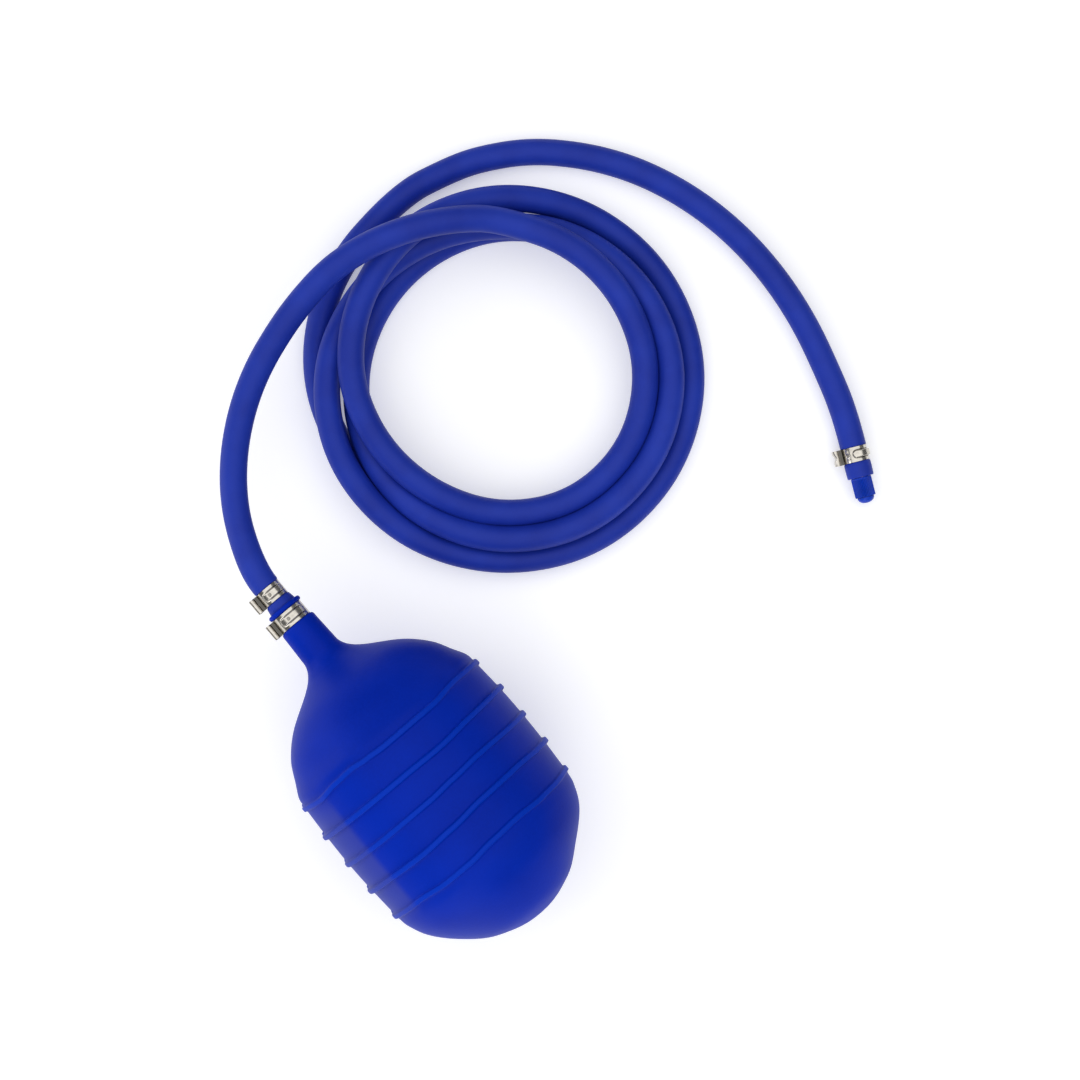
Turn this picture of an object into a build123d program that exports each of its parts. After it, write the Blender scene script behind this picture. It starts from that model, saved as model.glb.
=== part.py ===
from build123d import *

import math
import os

# An inflatable test plug for drain pipes: a ribbed rubber bladder with a long filling
# hose, which ends in a tyre-type valve under a plastic dust cap.
# Millimetres. +Y runs along the bladder from its closed tail to its neck, +Z is up, and
# the plug lies on the plane Z = 0 with the middle of the bladder's box at the origin.

os.makedirs("parts", exist_ok=True)

# ---------------------------------------------------------------- bladder
crest_radius = 50.7          # crests of the three middle ribs, which seal in the pipe
barrel_radius = 49.3         # skin between the middle ribs
barrel_end_radius = 48.2     # skin at the first and last ribs
rib_count = 5
rib_pitch = 15.0
rib_width = 2.3
end_rib_height = 1.3         # how far the first and last ribs stand out of the skin
rib_edge_radius = 0.4
tail_dome_length = 41.0      # last rib to the tail
shoulder_length = 45.3       # first rib to the foot of the neck
bladder_wall = 2.7
# where the domes' outlines pass: share of the radius, share of the length
tail_dome_shape = [(0.36, 0.074), (0.55, 0.18), (0.75, 0.39), (0.90, 0.61), (0.975, 0.82)]
shoulder_shape = [(0.905, 0.234), (0.775, 0.426), (0.552, 0.618), (0.205, 0.808), (0.069, 0.905)]

neck_foot_radius = 9.1
neck_radius = 8.5
neck_length = 17.3           # foot of the neck to its clamp
neck_squeezed_wall = 1.5     # rubber of the neck under its clamp
neck_groove_slack = 0.3      # room beside the clamp's band in its groove
lip_width = 1.9
lip_radius = 8.3

# ---------------------------------------------------------------- hose
hose_radius = 6.0
hose_bore_radius = 3.5
hose_squeezed_radius = 5.3   # hose under a clamp
hose_bulge_radius = 6.25     # hose just outside a clamp
hose_flare_radius = 6.5      # hose where it comes out of the neck
hose_in_neck_radius = 6.0
hose_in_neck = 11.0          # how far the hose is pushed into the neck
flare_length = 3.9           # hose seen between the neck and its own clamp
bulge_length = 1.1
bulge_taper = 0.8            # share of the bulge that narrows to the hose

# ---------------------------------------------------------------- clamps
band_width = 7.0
band_thickness = 0.6
ear_leg_height = 1.6
ear_leg_gap = 1.4
ear_head_width = 5.4
ear_head_height = 2.6

# ---------------------------------------------------------------- hose connector
connector_bore_radius = 2.3
connector_in_hose = 1.5      # it starts this far inside the hose's end
connector_short = 0.8        # it ends this far before the hose's free length
barb_count = 6
barb_height = 0.3
barb_pitch = 3.2
barb_ramp = 0.75             # share of the pitch that a barb's ramp takes

# ---------------------------------------------------------------- valve, measured from the hose's end
valve_point = (233.2, -40.45, 6.6)
valve_direction = (-0.4391, -0.8984)     # seen from above, out of the hose
valve_clamp_gap = 7.1        # hose seen between its clamp and its end
valve_stretch = 4.2          # straight hose before its clamp
stem_tail = 17.0             # stem inside the hose
stem_nose = 7.6              # stem outside the hose
thread_radius = 3.85
thread_start = 0.8
stem_bore_radius = 2.0
core_bore_radius = 2.65
core_seat_foot = 1.2         # cone on which the core's gasket seals
core_seat_length = 1.0
stem_barb_count = 4
core_clearance = 0.03
core_plug_depth = 0.9        # core's plug below the stem's tip
core_plug_length = 3.0
core_plug_bore_radius = 0.95
barrel_tube_radius = 1.7
barrel_tube_bore_radius = 1.2
barrel_tube_length = 9.0
barrel_floor = 0.7
barrel_floor_bore_radius = 0.6
gasket_height = 1.6
pin_radius = 0.45
pin_tip_depth = 0.4          # pin's tip below the stem's tip
pin_rivet_radius = 0.9
pin_rivet_length = 0.9
washer_radius = 1.1
washer_thickness = 0.4
washer_place = 1.6
seal_radius = 1.7
seal_thickness = 0.55
seal_gap = 0.02
cup_radius = 1.8
cup_depth = 1.4
cup_wall = 0.25
spring_radius = 0.83
spring_wire_radius = 0.13
spring_turns = 7
spring_end_gap = 0.05

# ---------------------------------------------------------------- dust cap
cap_start = 0.3
cap_skirt_length = 8.8
cap_wall = 0.73
cap_step = 0.75              # the domed end is this much smaller in radius
cap_dome_height = 2.9
cap_thread_clearance = 0.07
cap_liner_thickness = 0.7
cap_liner_slack = 0.17
cap_liner_gap = 0.03
cap_groove_count = 36
cap_groove_depth = 0.25
cap_groove_width = 0.4
cap_plain_rim = 0.7
cap_bore_depth = 8.1

# ---------------------------------------------------------------- coil
coil_centre = (139.5, 97.0)
coil_radius = 89.0
coil_eye_centre = (139.5, 101.5)
coil_eye_radius = 56.0
coil_mean_height = 33.5      # top of the coil over its centre
coil_top_slope = 0.15        # it rises towards the crossing
coil_high_side = 75.0        # degrees from +X
coil_edge_radius = 4.0

lead_out = 6.7               # hose that leaves its clamp along the bladder's axis
# The route's corners: out of the clamp, round and down to the crossing on the coil ...
lead_points = [
    (6.6, 118.4, 49.0),
    (15.0, 134.0, 46.0),
    (26.8, 148.3, 42.0),
    (41.6, 160.7, 38.5),
    (58.2, 169.8, 36.3),
    (76.8, 176.3, 35.5),
    (89.3, 178.6, 35.5),
]
lead_in_coil = [(128.0, 179.8, 38.0), (146.0, 172.0, 37.0)]
# ... and from the coil's outermost turn, over the ground, to the valve
tail_in_coil = [
    (71.5, 147.0, 8.0),
    (89.4, 171.0, 7.4),
    (108.7, 183.1, 6.8),
    (131.3, 190.0, 6.2),
    (155.4, 191.3, 6.0),
]
tail_points = [
    (167.75, 189.1, 6.0),
    (180.1, 186.9, 6.0),
    (194.2, 181.3, 6.0),
    (213.5, 168.8, 6.0),
    (230.6, 151.8, 6.0),
    (243.5, 134.0, 6.0),
    (252.5, 114.4, 6.0),
    (258.6, 93.5, 6.0),
    (261.5, 71.8, 6.0),
    (261.3, 50.0, 6.0),
    (258.3, 28.4, 6.0),
    (252.8, 7.4, 6.2),
]
valve_lead_in = 30.0         # hose that lies along the valve's axis
arc_share = 0.45             # share of the shorter run that each arc takes
end_arc_share = 0.95         # on the first and last runs, which have one arc

# ---------------------------------------------------------------- places that follow
ribbed_length = (rib_count - 1) * rib_pitch
neck_end_length = band_width + neck_groove_slack + lip_width
clamped_length = flare_length + band_width + bulge_length
# closed tail to the outer end of the hose connector
plug_length = (
    tail_dome_length
    + ribbed_length
    + shoulder_length
    + neck_length
    + neck_end_length
    + clamped_length
    - connector_short
)
tail_y = -plug_length / 2
last_rib_y = tail_y + tail_dome_length
first_rib_y = last_rib_y + ribbed_length
middle_rib_y = (first_rib_y + last_rib_y) / 2
neck_foot_y = first_rib_y + shoulder_length
neck_clamp_y = neck_foot_y + neck_length
neck_groove_end_y = neck_clamp_y + band_width + neck_groove_slack
lip_y = neck_clamp_y + neck_end_length
hose_end_y = lip_y - hose_in_neck
hose_clamp_y = lip_y + flare_length
hose_free_y = lip_y + clamped_length
connector_start_y = hose_end_y + connector_in_hose
connector_end_y = plug_length / 2
neck_hose_squeezed_radius = hose_squeezed_radius + 0.1
neck_squeezed_radius = neck_hose_squeezed_radius + neck_squeezed_wall

bladder_plane = Plane(origin=(0, 0, crest_radius), x_dir=(1, 0, 0), z_dir=(0, 0, 1))
bladder_axis = Axis((0, 0, crest_radius), (0, 1, 0))

valve_along = Vector(valve_direction[0], valve_direction[1], 0).normalized()
valve_across = Vector(valve_along.Y, -valve_along.X, 0)
valve_plane = Plane(origin=valve_point, x_dir=valve_across, z_dir=(0, 0, 1))
valve_axis = Axis(valve_point, valve_along)

valve_clamp_start = -valve_clamp_gap - band_width
hose_stretch_start = valve_clamp_start - valve_stretch
barrel_tube_top = stem_nose - core_plug_depth - core_plug_length
barrel_tube_foot = barrel_tube_top - barrel_tube_length
pin_tip = stem_nose - pin_tip_depth
seal_top = barrel_tube_foot - seal_gap
cup_top = seal_top - cup_wall
cup_foot = cup_top - cup_depth


def across_bladder(y, turn):
    """Plane square to the bladder's axis, its X axis turned about that axis."""
    radial = Vector(math.cos(math.radians(turn)), 0, math.sin(math.radians(turn)))
    return Plane(origin=(0, y, crest_radius), x_dir=radial, z_dir=(0, 1, 0))


def on_valve(distance):
    """Point on the valve's axis, so far out of the hose's end."""
    return Vector(*valve_point) + valve_along * distance


def arc_radii(points):
    """Radius for each corner of a route, as large as its two runs allow."""
    corners = [Vector(*point) for point in points]
    runs = [after - before for before, after in zip(corners, corners[1:])]
    rooms = [arc_share * run.length for run in runs]
    rooms[0] = end_arc_share * runs[0].length
    rooms[-1] = end_arc_share * runs[-1].length
    radii = []
    for number in range(len(runs) - 1):
        half_turn = math.radians(runs[number].get_angle(runs[number + 1])) / 2
        radii.append(min(rooms[number], rooms[number + 1]) / math.tan(half_turn))
    return radii


def beyond(before, last, distance):
    """Point past the last one, in line with the run that ends there."""
    run = (Vector(*last) - Vector(*before)).normalized()
    return tuple(Vector(*last) + run * distance)


def barbs(count, start, pitch, base_radius, height, direction):
    """Outline points of a row of barbs whose ramps face the way the hose comes from."""
    points = []
    for number in range(count):
        foot = start + direction * number * pitch
        points.append((base_radius, foot))
        points.append((base_radius + height, foot))
        points.append((base_radius, foot + direction * barb_ramp * pitch))
    points.append((base_radius, start + direction * count * pitch))
    return points


# ---------------------------------------------------------------- bladder
def dome(shape, radius, tip_radius, start_y, end_y):
    """Points of a dome's outline from its rim at start_y to its tip at end_y."""
    return [
        (tip_radius + share * (radius - tip_radius), start_y + along * (end_y - start_y))
        for share, along in shape
    ]


with BuildPart() as bladder:
    tail_shape = [(share, 1 - along) for share, along in reversed(tail_dome_shape)]
    with BuildSketch(bladder_plane):
        with BuildLine():
            Spline(
                (barrel_end_radius, last_rib_y),
                *dome(tail_shape, barrel_end_radius, 0, last_rib_y, tail_y),
                (0, tail_y),
                tangents=((0, -1), (-1, 0)),
            )
            ThreePointArc(
                (barrel_end_radius, last_rib_y),
                (barrel_radius, middle_rib_y),
                (barrel_end_radius, first_rib_y),
            )
            Spline(
                (barrel_end_radius, first_rib_y),
                *dome(shoulder_shape, barrel_end_radius, neck_foot_radius, first_rib_y, neck_foot_y),
                (neck_foot_radius, neck_foot_y),
                tangents=((0, 1), (0, 1)),
            )
            Polyline(
                (neck_foot_radius, neck_foot_y),
                (neck_radius, neck_clamp_y - 2 * neck_groove_slack),
                (neck_squeezed_radius, neck_clamp_y),
                (neck_squeezed_radius, neck_groove_end_y),
                (lip_radius, neck_groove_end_y),
                (lip_radius, lip_y),
                (0, lip_y),
                (0, tail_y),
            )
        make_face()
    revolve(axis=bladder_axis)
    for number in range(rib_count):
        rib_y = last_rib_y + number * rib_pitch
        is_end_rib = number in (0, rib_count - 1)
        crest = barrel_end_radius + end_rib_height if is_end_rib else crest_radius
        with BuildSketch(bladder_plane):
            with Locations((crest - bladder_wall / 2, rib_y)):
                rib_outline = Rectangle(bladder_wall, rib_width)
            fillet(rib_outline.vertices().group_by(Axis.X)[-1], radius=rib_edge_radius)
        revolve(axis=bladder_axis)
    inner_shift = 0.6 * bladder_wall
    with BuildSketch(bladder_plane):
        with BuildLine():
            Spline(
                (barrel_end_radius - bladder_wall, last_rib_y),
                *dome(tail_shape, barrel_end_radius - bladder_wall, 0, last_rib_y, tail_y + bladder_wall),
                (0, tail_y + bladder_wall),
                tangents=((0, -1), (-1, 0)),
            )
            ThreePointArc(
                (barrel_end_radius - bladder_wall, last_rib_y),
                (barrel_radius - bladder_wall, middle_rib_y),
                (barrel_end_radius - bladder_wall, first_rib_y - inner_shift),
            )
            Spline(
                (barrel_end_radius - bladder_wall, first_rib_y - inner_shift),
                *dome(
                    shoulder_shape,
                    barrel_end_radius - bladder_wall,
                    hose_in_neck_radius,
                    first_rib_y - inner_shift,
                    neck_foot_y - inner_shift,
                ),
                (hose_in_neck_radius, neck_foot_y - inner_shift),
                tangents=((0, 1), (0, 1)),
            )
            Polyline(
                (hose_in_neck_radius, neck_foot_y - inner_shift),
                (hose_in_neck_radius, hose_end_y),
                (0, hose_end_y),
                (0, tail_y + bladder_wall),
            )
        make_face()
    revolve(axis=bladder_axis, mode=Mode.SUBTRACT)
    with BuildSketch(bladder_plane):
        with BuildLine():
            Polyline(
                (0, hose_end_y),
                (hose_in_neck_radius, hose_end_y),
                (hose_in_neck_radius, neck_clamp_y - 2 * neck_groove_slack),
                (neck_hose_squeezed_radius, neck_clamp_y),
                (neck_hose_squeezed_radius, neck_groove_end_y),
                (hose_flare_radius, lip_y),
                (0, lip_y),
                close=True,
            )
        make_face()
    revolve(axis=bladder_axis, mode=Mode.SUBTRACT)
bladder.part.label = "bladder"


# ---------------------------------------------------------------- ear clamps
def ear_clamp(band_plane, bore_radius, label):
    """Crimped one-ear band: it starts at its plane, and its ear points along the plane's X axis."""
    outer_radius = bore_radius + band_thickness
    head_middle = outer_radius + ear_leg_height + ear_head_height / 2
    with BuildPart() as clamp:
        with BuildSketch(band_plane):
            Circle(outer_radius)
            with Locations((outer_radius + ear_leg_height / 2, 0)):
                Rectangle(ear_leg_height + 2 * band_thickness, ear_leg_gap + 2 * band_thickness)
            with Locations((head_middle, 0)):
                SlotOverall(ear_head_width, ear_head_height, rotation=90)
                SlotOverall(
                    ear_head_width - 2 * band_thickness,
                    ear_head_height - 2 * band_thickness,
                    rotation=90,
                    mode=Mode.SUBTRACT,
                )
            with Locations((outer_radius + ear_leg_height / 2, 0)):
                Rectangle(ear_leg_height + 4 * band_thickness, ear_leg_gap, mode=Mode.SUBTRACT)
            Circle(bore_radius, mode=Mode.SUBTRACT)
        extrude(amount=band_width)
    clamp.part.label = label
    return clamp


neck_clamp = ear_clamp(across_bladder(neck_clamp_y, 180), neck_squeezed_radius, "neck_clamp")
hose_clamp = ear_clamp(across_bladder(hose_clamp_y, 180), hose_squeezed_radius, "hose_clamp")
valve_clamp_plane = Plane(origin=on_valve(valve_clamp_start), x_dir=valve_across, z_dir=valve_along)
valve_clamp = ear_clamp(valve_clamp_plane, hose_squeezed_radius, "valve_clamp")

# ---------------------------------------------------------------- hose connector
connector_barbs = barbs(
    barb_count, connector_end_y - barb_count * barb_pitch, barb_pitch, hose_bore_radius, barb_height, 1
)
connector_outline = [(hose_bore_radius, connector_start_y), *connector_barbs]
with BuildPart() as hose_connector:
    with BuildSketch(bladder_plane):
        with BuildLine():
            Polyline(
                (connector_bore_radius, connector_start_y),
                *connector_outline,
                (connector_bore_radius, connector_end_y),
                close=True,
            )
        make_face()
    revolve(axis=bladder_axis)
hose_connector.part.label = "hose_connector"

# ---------------------------------------------------------------- hose, from the neck to the coil
lead_route = [(0, hose_free_y, crest_radius), (0, hose_free_y + lead_out, crest_radius), *lead_points]
lead_radii = arc_radii(lead_route)
with BuildPart() as hose_lead:
    with BuildSketch(bladder_plane):
        with BuildLine():
            Polyline(
                (hose_bore_radius, hose_end_y),
                (hose_in_neck_radius, hose_end_y),
                (hose_in_neck_radius, neck_clamp_y - 2 * neck_groove_slack),
                (neck_hose_squeezed_radius, neck_clamp_y),
                (neck_hose_squeezed_radius, neck_groove_end_y),
                (hose_flare_radius, lip_y),
                (hose_radius, hose_clamp_y - neck_groove_slack),
                (hose_squeezed_radius, hose_clamp_y),
                (hose_squeezed_radius, hose_clamp_y + band_width),
                (hose_bulge_radius, hose_free_y - bulge_taper * bulge_length),
                (hose_radius, hose_free_y),
                (hose_bore_radius, hose_free_y),
                (hose_bore_radius, connector_end_y),
                *reversed(connector_outline[:-1]),
                close=True,
            )
        make_face()
    revolve(axis=bladder_axis)
    with BuildLine() as lead_line:
        FilletPolyline(*lead_route, radius=lead_radii)
    with BuildSketch(Plane(origin=lead_line.line @ 0, z_dir=lead_line.line % 0)):
        Circle(hose_radius)
        Circle(hose_bore_radius, mode=Mode.SUBTRACT)
    sweep(path=lead_line.line)
hose_lead.part.label = "hose_lead"

# ---------------------------------------------------------------- hose, coiled
high_way = Vector(math.cos(math.radians(coil_high_side)), math.sin(math.radians(coil_high_side)), 0)
coil_top_plane = Plane(
    origin=(*coil_centre, coil_mean_height),
    z_dir=(-coil_top_slope * high_way.X, -coil_top_slope * high_way.Y, 1),
)
coil_rough_height = coil_mean_height + 2 * coil_top_slope * coil_radius
lead_stub_route = [lead_points[-1], beyond(lead_points[-2], lead_points[-1], 20.0), *lead_in_coil]
tail_stub_route = [*tail_in_coil, tail_points[0]]
with BuildPart() as hose_coil:
    with BuildSketch(Plane.XY):
        with Locations(coil_centre):
            Circle(coil_radius)
        with Locations(coil_eye_centre):
            Circle(coil_eye_radius, mode=Mode.SUBTRACT)
    extrude(amount=coil_rough_height)
    split(bisect_by=coil_top_plane, keep=Keep.BOTTOM)
    fillet(hose_coil.edges().filter_by(GeomType.LINE, reverse=True), radius=coil_edge_radius)
    for stub_route in (lead_stub_route, tail_stub_route):
        with BuildLine() as stub_line:
            FilletPolyline(*stub_route, radius=arc_radii(stub_route))
        with BuildSketch(Plane(origin=stub_line.line @ 0, z_dir=stub_line.line % 0)):
            Circle(hose_radius)
        sweep(path=stub_line.line)
hose_coil.part.label = "hose_coil"

# ---------------------------------------------------------------- hose, from the coil to the valve
tail_route = [*tail_points, tuple(on_valve(-valve_lead_in)), tuple(on_valve(hose_stretch_start))]
tail_radii = arc_radii(tail_route)
stem_barbs = barbs(
    stem_barb_count,
    -stem_tail + stem_barb_count * barb_pitch,
    barb_pitch,
    hose_bore_radius,
    barb_height,
    -1,
)
with BuildPart() as hose_tail:
    with BuildSketch(valve_plane):
        with BuildLine():
            Polyline(
                (hose_bore_radius, hose_stretch_start),
                (hose_radius, hose_stretch_start),
                (hose_radius, valve_clamp_start - neck_groove_slack),
                (hose_squeezed_radius, valve_clamp_start),
                (hose_squeezed_radius, -valve_clamp_gap),
                (hose_radius, -valve_clamp_gap + 2 * neck_groove_slack),
                (hose_radius, 0),
                (hose_bore_radius, 0),
                *stem_barbs,
                close=True,
            )
        make_face()
    revolve(axis=valve_axis)
    with BuildLine() as tail_line:
        FilletPolyline(*tail_route, radius=tail_radii)
    with BuildSketch(Plane(origin=tail_line.line @ 0, z_dir=tail_line.line % 0)):
        Circle(hose_radius)
        Circle(hose_bore_radius, mode=Mode.SUBTRACT)
    sweep(path=tail_line.line)
hose_tail.part.label = "hose_tail"

# ---------------------------------------------------------------- valve stem
with BuildPart() as valve_stem:
    with BuildSketch(valve_plane):
        with BuildLine():
            Polyline(
                (hose_bore_radius, thread_start),
                *stem_barbs,
                (stem_bore_radius, -stem_tail),
                (stem_bore_radius, core_seat_foot),
                (core_bore_radius, core_seat_foot + core_seat_length),
                (core_bore_radius, stem_nose),
                (thread_radius, stem_nose),
                (thread_radius, thread_start),
                close=True,
            )
        make_face()
    revolve(axis=valve_axis)
valve_stem.part.label = "valve_stem"

# ---------------------------------------------------------------- valve core
with BuildPart() as core_gasket:
    gasket_radius = core_bore_radius - core_clearance
    with BuildSketch(valve_plane):
        with BuildLine():
            Polyline(
                (barrel_tube_radius, core_seat_foot + core_clearance),
                (stem_bore_radius, core_seat_foot + core_clearance),
                (gasket_radius, core_seat_foot + core_seat_length + core_clearance),
                (gasket_radius, core_seat_foot + gasket_height),
                (barrel_tube_radius, core_seat_foot + gasket_height),
                close=True,
            )
        make_face()
    revolve(axis=valve_axis)
core_gasket.part.label = "core_gasket"

with BuildPart() as core_plug:
    with BuildSketch(Plane(origin=on_valve(barrel_tube_top), x_dir=valve_across, z_dir=valve_along)):
        Circle(core_bore_radius - core_clearance)
        Circle(core_plug_bore_radius, mode=Mode.SUBTRACT)
    extrude(amount=core_plug_length)
core_plug.part.label = "core_plug"

with BuildPart() as core_barrel:
    with BuildSketch(valve_plane):
        with BuildLine():
            Polyline(
                (barrel_tube_bore_radius, barrel_tube_top),
                (barrel_tube_radius, barrel_tube_top),
                (barrel_tube_radius, barrel_tube_foot),
                (barrel_floor_bore_radius, barrel_tube_foot),
                (barrel_floor_bore_radius, barrel_tube_foot + barrel_floor),
                (barrel_tube_bore_radius, barrel_tube_foot + barrel_floor),
                close=True,
            )
        make_face()
    revolve(axis=valve_axis)
core_barrel.part.label = "core_barrel"

with BuildPart() as core_pin:
    with BuildSketch(valve_plane):
        with BuildLine():
            Polyline(
                (0, pin_tip),
                (pin_radius, pin_tip),
                (pin_radius, cup_foot),
                (pin_rivet_radius, cup_foot),
                (pin_rivet_radius, cup_foot - pin_rivet_length),
                (0, cup_foot - pin_rivet_length),
                close=True,
            )
        make_face()
    revolve(axis=valve_axis)
core_pin.part.label = "core_pin"

with BuildPart() as core_washer:
    with BuildSketch(Plane(origin=on_valve(washer_place), x_dir=valve_across, z_dir=valve_along)):
        Circle(washer_radius)
        Circle(pin_radius, mode=Mode.SUBTRACT)
    extrude(amount=washer_thickness)
core_washer.part.label = "core_washer"

with BuildPart() as core_cup:
    with BuildSketch(valve_plane):
        with BuildLine():
            Polyline(
                (pin_radius, cup_foot),
                (cup_radius, cup_foot),
                (cup_radius, cup_top),
                (seal_radius, cup_top),
                (seal_radius, seal_top - seal_thickness),
                (pin_radius, seal_top - seal_thickness),
                close=True,
            )
        make_face()
    revolve(axis=valve_axis)
core_cup.part.label = "core_cup"

with BuildPart() as core_seal:
    with BuildSketch(
        Plane(origin=on_valve(seal_top - seal_thickness), x_dir=valve_across, z_dir=valve_along)
    ):
        Circle(seal_radius)
        Circle(pin_radius, mode=Mode.SUBTRACT)
    extrude(amount=seal_thickness)
core_seal.part.label = "core_seal"

spring_foot = barrel_tube_foot + barrel_floor + spring_wire_radius + spring_end_gap
spring_height = washer_place - spring_wire_radius - spring_end_gap - spring_foot
with BuildPart() as core_spring:
    with BuildLine():
        spring_line = Helix(
            pitch=spring_height / spring_turns,
            height=spring_height,
            radius=spring_radius,
            center=on_valve(spring_foot),
            direction=valve_along,
        )
    with BuildSketch(Plane(origin=spring_line @ 0, z_dir=spring_line % 0)):
        Circle(spring_wire_radius)
    sweep(path=spring_line, is_frenet=True)
core_spring.part.label = "core_spring"

# ---------------------------------------------------------------- dust cap
cap_bore_radius = thread_radius + cap_thread_clearance
cap_radius = cap_bore_radius + cap_wall
cap_shoulder_radius = cap_radius - cap_step
cap_end = cap_start + cap_skirt_length
cap_dome_radius = (cap_shoulder_radius**2 + cap_dome_height**2) / (2 * cap_dome_height)
cap_dome_centre = cap_end + cap_dome_height - cap_dome_radius
cap_dome_mid = math.asin(cap_shoulder_radius / cap_dome_radius) / 2
cap_dome_middle = (
    cap_dome_radius * math.sin(cap_dome_mid),
    cap_dome_centre + cap_dome_radius * math.cos(cap_dome_mid),
)
with BuildPart() as valve_cap:
    with BuildSketch(valve_plane):
        with BuildLine():
            Polyline(
                (0, cap_start + cap_bore_depth),
                (cap_bore_radius, cap_start + cap_bore_depth),
                (cap_bore_radius, cap_start),
                (cap_radius, cap_start),
                (cap_radius, cap_end),
                (cap_shoulder_radius, cap_end),
            )
            ThreePointArc((cap_shoulder_radius, cap_end), cap_dome_middle, (0, cap_end + cap_dome_height))
            Line((0, cap_end + cap_dome_height), (0, cap_start + cap_bore_depth))
        make_face()
    revolve(axis=valve_axis)
    groove_plane = Plane(origin=on_valve(cap_start + cap_plain_rim), x_dir=valve_across, z_dir=valve_along)
    with BuildSketch(groove_plane):
        with PolarLocations(cap_radius, cap_groove_count):
            Rectangle(2 * cap_groove_depth, cap_groove_width)
    extrude(amount=cap_skirt_length, mode=Mode.SUBTRACT)
valve_cap.part.label = "valve_cap"

with BuildPart() as cap_liner:
    with BuildSketch(
        Plane(origin=on_valve(stem_nose + cap_liner_gap), x_dir=valve_across, z_dir=valve_along)
    ):
        Circle(cap_bore_radius - cap_liner_slack)
    extrude(amount=cap_liner_thickness)
cap_liner.part.label = "cap_liner"

# ---------------------------------------------------------------- files and figures
for piece in (
    bladder,
    neck_clamp,
    hose_clamp,
    valve_clamp,
    hose_connector,
    hose_lead,
    hose_coil,
    hose_tail,
    valve_stem,
    core_gasket,
    core_plug,
    core_barrel,
    core_pin,
    core_washer,
    core_cup,
    core_seal,
    core_spring,
    valve_cap,
    cap_liner,
):
    export_step(piece.part, f"parts/{piece.part.label}.step")

print("bend radii, lead:", [round(radius) for radius in lead_radii])
print("bend radii, tail:", [round(radius) for radius in tail_radii])
hose_section = math.pi * (hose_radius**2 - hose_bore_radius**2)
for name, line, piece in (("lead", lead_line, hose_lead), ("tail", tail_line, hose_tail)):
    length = sum(edge.length for edge in line.edges())
    print(name, "length", round(length, 1), "section by length", round(hose_section * length))
    print(name, "volume with its end piece", round(piece.part.volume))
print("axis height", crest_radius, "middle rib y", middle_rib_y, "neck foot y", round(neck_foot_y, 2))
print("lip y", round(lip_y, 2), "hose free y", round(hose_free_y, 2), "connector", round(connector_start_y, 2))
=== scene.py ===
"""An inflatable pipe test plug: ribbed rubber bladder, coiled filling hose, ear clamps and tyre valve.

Everything is in metres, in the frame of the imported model: +Y runs along the bladder from its
closed tail to its neck, +Z is up, and the floor is the plane Z = 0.
"""

import math

import bmesh
import bpy
from bpy.props import FloatProperty, FloatVectorProperty, IntProperty, PointerProperty
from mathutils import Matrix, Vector, noise


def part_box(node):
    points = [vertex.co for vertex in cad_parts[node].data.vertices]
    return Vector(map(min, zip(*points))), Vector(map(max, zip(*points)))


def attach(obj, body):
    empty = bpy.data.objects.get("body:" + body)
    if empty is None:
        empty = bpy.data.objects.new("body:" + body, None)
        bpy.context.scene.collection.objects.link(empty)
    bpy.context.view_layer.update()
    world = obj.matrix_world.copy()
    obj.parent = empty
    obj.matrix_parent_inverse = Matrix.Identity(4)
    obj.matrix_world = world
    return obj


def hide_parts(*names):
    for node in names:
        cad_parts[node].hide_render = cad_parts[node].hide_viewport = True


bl_info = {
    "name": "Pipe test plug",
    "version": (1, 0, 0),
    "blender": (4, 5, 0),
    "location": "3D View > Sidebar > Test plug",
    "description": "Builds an inflatable pipe test plug round its packed frame",
    "category": "Object",
}

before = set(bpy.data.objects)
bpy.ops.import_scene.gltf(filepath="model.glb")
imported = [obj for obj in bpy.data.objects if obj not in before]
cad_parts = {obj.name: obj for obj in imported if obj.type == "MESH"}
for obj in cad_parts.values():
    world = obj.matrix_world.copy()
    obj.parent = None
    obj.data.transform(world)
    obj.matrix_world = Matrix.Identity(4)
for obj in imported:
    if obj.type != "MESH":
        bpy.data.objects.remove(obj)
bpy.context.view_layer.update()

MM = 0.001
UP = Vector((0, 0, 1))
SHARP_ANGLE = math.radians(35)
MERGE_DISTANCE = 1e-7

BLADDER_LOW, BLADDER_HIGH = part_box("bladder")
CREST_RADIUS = (BLADDER_HIGH.z - BLADDER_LOW.z) / 2
TAIL_Y = BLADDER_LOW.y
LIP_Y = BLADDER_HIGH.y

# the face of the hose's valve end, the way that the valve points, and across it
VALVE_POINT = Vector((233.2, -40.45, 6.6)) * MM
VALVE_ALONG = Vector((-0.4391, -0.8984, 0)).normalized()
VALVE_ACROSS = Vector((VALVE_ALONG.y, -VALVE_ALONG.x, 0))

BLADDER_AXIS = Vector((0, 0, CREST_RADIUS))
LENGTHWISE = Vector((0, 1, 0))
RIGHTWARD = Vector((1, 0, 0))
LEFTWARD = Vector((-1, 0, 0))
NECK_SQUEEZED = 6.9 * MM      # radius of the neck under its clamp


def on_valve(distance):
    """Point on the valve's axis, so far out of the hose's end."""
    return VALVE_POINT + VALVE_ALONG * distance


# ---- sizes and colours
def length_value(name, description, default, **limits):
    """A length that the sidebar shows in the scene's units."""
    return FloatProperty(
        name=name, description=description, default=default, unit="LENGTH", precision=5, **limits
    )


def colour_value(name, description, default):
    """A colour with a swatch in the sidebar."""
    return FloatVectorProperty(
        name=name, description=description, default=default, subtype="COLOR", size=3, min=0, max=1
    )


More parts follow.
